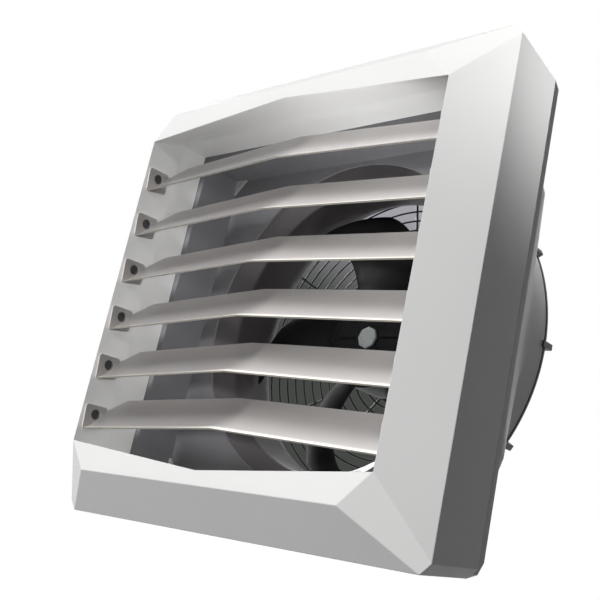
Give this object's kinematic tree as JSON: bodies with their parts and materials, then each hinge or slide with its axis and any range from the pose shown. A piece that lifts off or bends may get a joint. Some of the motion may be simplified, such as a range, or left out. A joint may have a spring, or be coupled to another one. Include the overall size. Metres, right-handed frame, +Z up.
{
  "type": "destratification fan",
  "caption": "Square ceiling-hung air mixing fan: a bevelled light-grey casing with tilting louvres in front of an axial fan in a round nozzle, and a wire guard with its motor at the back.",
  "frame": {"origin": "on the fan's axis, in the plane of the mouths of the four hanging inserts", "axes": "seen from the front, +X to the right, +Y to the back along the fan's axis, +Z up"},
  "size_m": [0.7, 0.425, 0.7],
  "materials": {
    "casing_plastic": "satin moulded, light grey",
    "louvre_plastic": "satin moulded, warm light grey",
    "duct_plastic": "satin moulded, dark grey",
    "pin_plastic": "satin moulded, dark grey",
    "fan_plastic": "satin moulded, black",
    "cap_plastic": "satin moulded, pale grey",
    "clip_plastic": "satin moulded, dark grey",
    "box_plastic": "satin moulded, dark grey",
    "block_plastic": "satin moulded, off white",
    "gland_plastic": "satin moulded, black",
    "motor_steel_black": "semi-gloss black paint",
    "guard_paint": "semi-gloss black paint",
    "motor_aluminium": "die cast",
    "bright_steel": "ground",
    "zinc_steel": "zinc plated",
    "insert_brass": "turned"
  },
  "bodies": {
    "casing": {"front_panel": "casing_plastic", "rear_casing": "casing_plastic", "air_duct": "duct_plastic", "fan_nozzle": "duct_plastic", "louvre_pins": "pin_plastic", "motor_bearings": "bright_steel", "motor_stator": "motor_aluminium", "motor_plate": "guard_paint", "motor_screws": "zinc_steel", "guard_rings": "guard_paint", "guard_struts": "guard_paint", "guard_clips": "clip_plastic", "guard_screws": "zinc_steel", "casing_screws": "zinc_steel", "hanging_inserts": "insert_brass", "terminal_box": "box_plastic", "terminal_block": "block_plastic", "terminal_lid": "box_plastic", "lid_screws": "zinc_steel", "cable_gland": "gland_plastic", "gland_nut": "gland_plastic"},
    "rotor": {"fan_hub": "motor_steel_black", "fan_blades": "fan_plastic", "hub_cap": "cap_plastic", "motor_shaft": "bright_steel"},
    "louvre_body_1": {"louvre_1": "louvre_plastic"},
    "louvre_body_2": {"louvre_2": "louvre_plastic"},
    "louvre_body_3": {"louvre_3": "louvre_plastic"},
    "louvre_body_4": {"louvre_4": "louvre_plastic"},
    "louvre_body_5": {"louvre_5": "louvre_plastic"},
    "louvre_body_6": {"louvre_6": "louvre_plastic"}
  },
  "joints": [
    {"name": "fan_spin", "type": "hinge", "parent": "casing", "child": "rotor", "pos_m": [0, 0.1, 0], "axis": [0, 1, 0], "continuous": true},
    {"name": "louvre_1_tilt", "type": "hinge", "parent": "casing", "child": "louvre_body_1", "pos_m": [0, -0.188, 0.1936], "axis": [1, 0, 0], "range_deg": [-48, 38]},
    {"name": "louvre_2_tilt", "type": "hinge", "parent": "casing", "child": "louvre_body_2", "pos_m": [0, -0.188, 0.1138], "axis": [1, 0, 0], "range_deg": [-48, 38]},
    {"name": "louvre_3_tilt", "type": "hinge", "parent": "casing", "child": "louvre_body_3", "pos_m": [0, -0.188, 0.034], "axis": [1, 0, 0], "range_deg": [-48, 38]},
    {"name": "louvre_4_tilt", "type": "hinge", "parent": "casing", "child": "louvre_body_4", "pos_m": [0, -0.188, -0.0458], "axis": [1, 0, 0], "range_deg": [-48, 38]},
    {"name": "louvre_5_tilt", "type": "hinge", "parent": "casing", "child": "louvre_body_5", "pos_m": [0, -0.188, -0.1256], "axis": [1, 0, 0], "range_deg": [-48, 38]},
    {"name": "louvre_6_tilt", "type": "hinge", "parent": "casing", "child": "louvre_body_6", "pos_m": [0, -0.188, -0.2054], "axis": [1, 0, 0], "range_deg": [-48, 38]}
  ]
}
